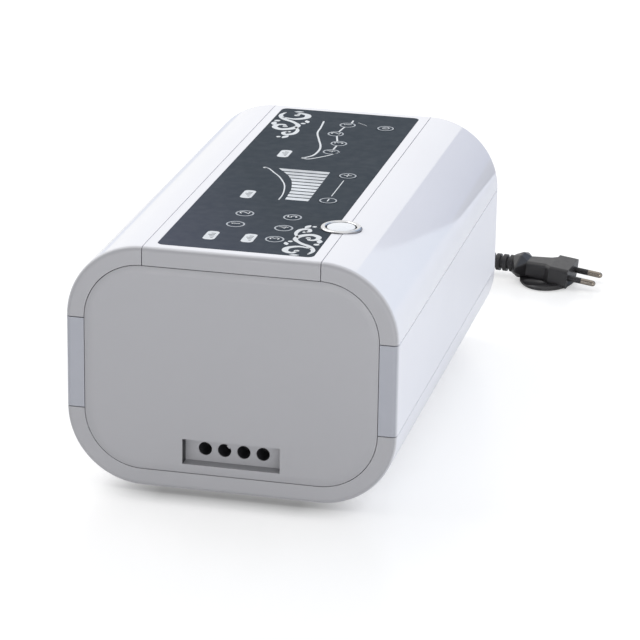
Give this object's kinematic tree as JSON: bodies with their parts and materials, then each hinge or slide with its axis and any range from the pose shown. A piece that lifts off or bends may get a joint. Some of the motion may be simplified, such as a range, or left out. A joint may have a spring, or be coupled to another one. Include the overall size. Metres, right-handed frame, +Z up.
{
  "type": "compression therapy pump",
  "caption": "Table-top air pump for compression therapy: rounded box housing with a membrane control panel and push button on top, a recessed hose outlet in front and a mains lead behind.",
  "frame": {"origin": "middle of the housing's width and length, on the surface that the feet stand on", "axes": "+Z up; -Y out of the front, the way the outlet ports open; +X to the right seen from the front; the mains lead leaves the rear towards +Y"},
  "size_m": [0.2421, 0.4557, 0.1472],
  "materials": {
    "shell_white": "satin",
    "plate_grey": "satin",
    "steel": "satin",
    "foot_rubber": "matte",
    "overlay_slate": "satin",
    "key_slate": "satin",
    "board_green": "satin",
    "button_white": "gloss",
    "ring_chrome": "gloss",
    "black_plastic": "satin",
    "pump_aluminium": "satin",
    "soft_rubber": "matte",
    "core_steel": "satin",
    "winding_copper": "satin",
    "part_white": "satin",
    "rotor_orange": "satin",
    "tube_clear": "satin",
    "cord_black": "satin",
    "pin_metal": "satin"
  },
  "bodies": {
    "housing": {"lower_shell": "shell_white", "left_side_panel": "shell_white", "right_side_panel": "shell_white", "upper_left_shell": "shell_white", "upper_right_shell": "shell_white", "top_panel": "shell_white", "rear_plate": "shell_white", "front_plate": "plate_grey", "outlet_block": "plate_grey", "rear_screws": "steel", "inner_screws": "steel", "dome_switches": "steel", "distributor_motor": "steel", "feet": "foot_rubber", "control_overlay": "overlay_slate", "keypad_board": "board_green", "main_board": "board_green", "button_ring": "ring_chrome", "push_switch": "black_plastic", "board_parts": "black_plastic", "plug_body": "black_plastic", "pump_frame": "pump_aluminium", "pump_head_left": "pump_aluminium", "pump_head_right": "pump_aluminium", "pump_mounts": "soft_rubber", "diaphragm_left": "soft_rubber", "diaphragm_right": "soft_rubber", "magnet_cores": "core_steel", "transformer": "core_steel", "pump_coils": "winding_copper", "distributor_body": "part_white", "distributor_cover": "part_white", "mains_terminal": "part_white", "supply_tubes": "tube_clear", "outlet_tubes": "tube_clear", "inner_leads": "cord_black", "cord_gland": "cord_black", "mains_cord_near": "cord_black", "mains_cord_coil": "cord_black", "mains_cord_far": "cord_black", "plug_pins": "pin_metal"},
    "key_power": {"key_power": "key_slate"},
    "key_plus": {"key_plus": "key_slate"},
    "key_minus": {"key_minus": "key_slate"},
    "key_zone_1": {"key_zone_1": "key_slate"},
    "key_zone_2": {"key_zone_2": "key_slate"},
    "key_zone_3": {"key_zone_3": "key_slate"},
    "key_zone_4": {"key_zone_4": "key_slate"},
    "key_program_1": {"key_program_1": "key_slate"},
    "key_program_2": {"key_program_2": "key_slate"},
    "key_program_3": {"key_program_3": "key_slate"},
    "key_program_4": {"key_program_4": "key_slate"},
    "key_program_5": {"key_program_5": "key_slate"},
    "push_button": {"push_button": "button_white"},
    "armature": {"armature": "core_steel"},
    "distributor_rotor": {"distributor_rotor": "rotor_orange"}
  },
  "joints": [
    {"name": "key_power_press", "type": "slide", "parent": "housing", "child": "key_power", "axis": [0, 0, -1], "range_m": [0, 0.0004], "stiffness_N_per_m": 3000},
    {"name": "key_plus_press", "type": "slide", "parent": "housing", "child": "key_plus", "axis": [0, 0, -1], "range_m": [0, 0.0004], "stiffness_N_per_m": 3000},
    {"name": "key_minus_press", "type": "slide", "parent": "housing", "child": "key_minus", "axis": [0, 0, -1], "range_m": [0, 0.0004], "stiffness_N_per_m": 3000},
    {"name": "key_zone_1_press", "type": "slide", "parent": "housing", "child": "key_zone_1", "axis": [0, 0, -1], "range_m": [0, 0.0004], "stiffness_N_per_m": 3000},
    {"name": "key_zone_2_press", "type": "slide", "parent": "housing", "child": "key_zone_2", "axis": [0, 0, -1], "range_m": [0, 0.0004], "stiffness_N_per_m": 3000},
    {"name": "key_zone_3_press", "type": "slide", "parent": "housing", "child": "key_zone_3", "axis": [0, 0, -1], "range_m": [0, 0.0004], "stiffness_N_per_m": 3000},
    {"name": "key_zone_4_press", "type": "slide", "parent": "housing", "child": "key_zone_4", "axis": [0, 0, -1], "range_m": [0, 0.0004], "stiffness_N_per_m": 3000},
    {"name": "key_program_1_press", "type": "slide", "parent": "housing", "child": "key_program_1", "axis": [0, 0, -1], "range_m": [0, 0.0004], "stiffness_N_per_m": 3000},
    {"name": "key_program_2_press", "type": "slide", "parent": "housing", "child": "key_program_2", "axis": [0, 0, -1], "range_m": [0, 0.0004], "stiffness_N_per_m": 3000},
    {"name": "key_program_3_press", "type": "slide", "parent": "housing", "child": "key_program_3", "axis": [0, 0, -1], "range_m": [0, 0.0004], "stiffness_N_per_m": 3000},
    {"name": "key_program_4_press", "type": "slide", "parent": "housing", "child": "key_program_4", "axis": [0, 0, -1], "range_m": [0, 0.0004], "stiffness_N_per_m": 3000},
    {"name": "key_program_5_press", "type": "slide", "parent": "housing", "child": "key_program_5", "axis": [0, 0, -1], "range_m": [0, 0.0004], "stiffness_N_per_m": 3000},
    {"name": "push_button_press", "type": "slide", "parent": "housing", "child": "push_button", "axis": [0, 0, -1], "range_m": [0, 0.002], "stiffness_N_per_m": 1500},
    {"name": "armature_stroke", "type": "slide", "parent": "housing", "child": "armature", "axis": [1, 0, 0], "range_m": [-0.002, 0.002], "stiffness_N_per_m": 9800},
    {"name": "distributor_spin", "type": "hinge", "parent": "housing", "child": "distributor_rotor", "pos_m": [0.00075, -0.06, 0.035], "axis": [0, 0, 1], "continuous": true}
  ]
}
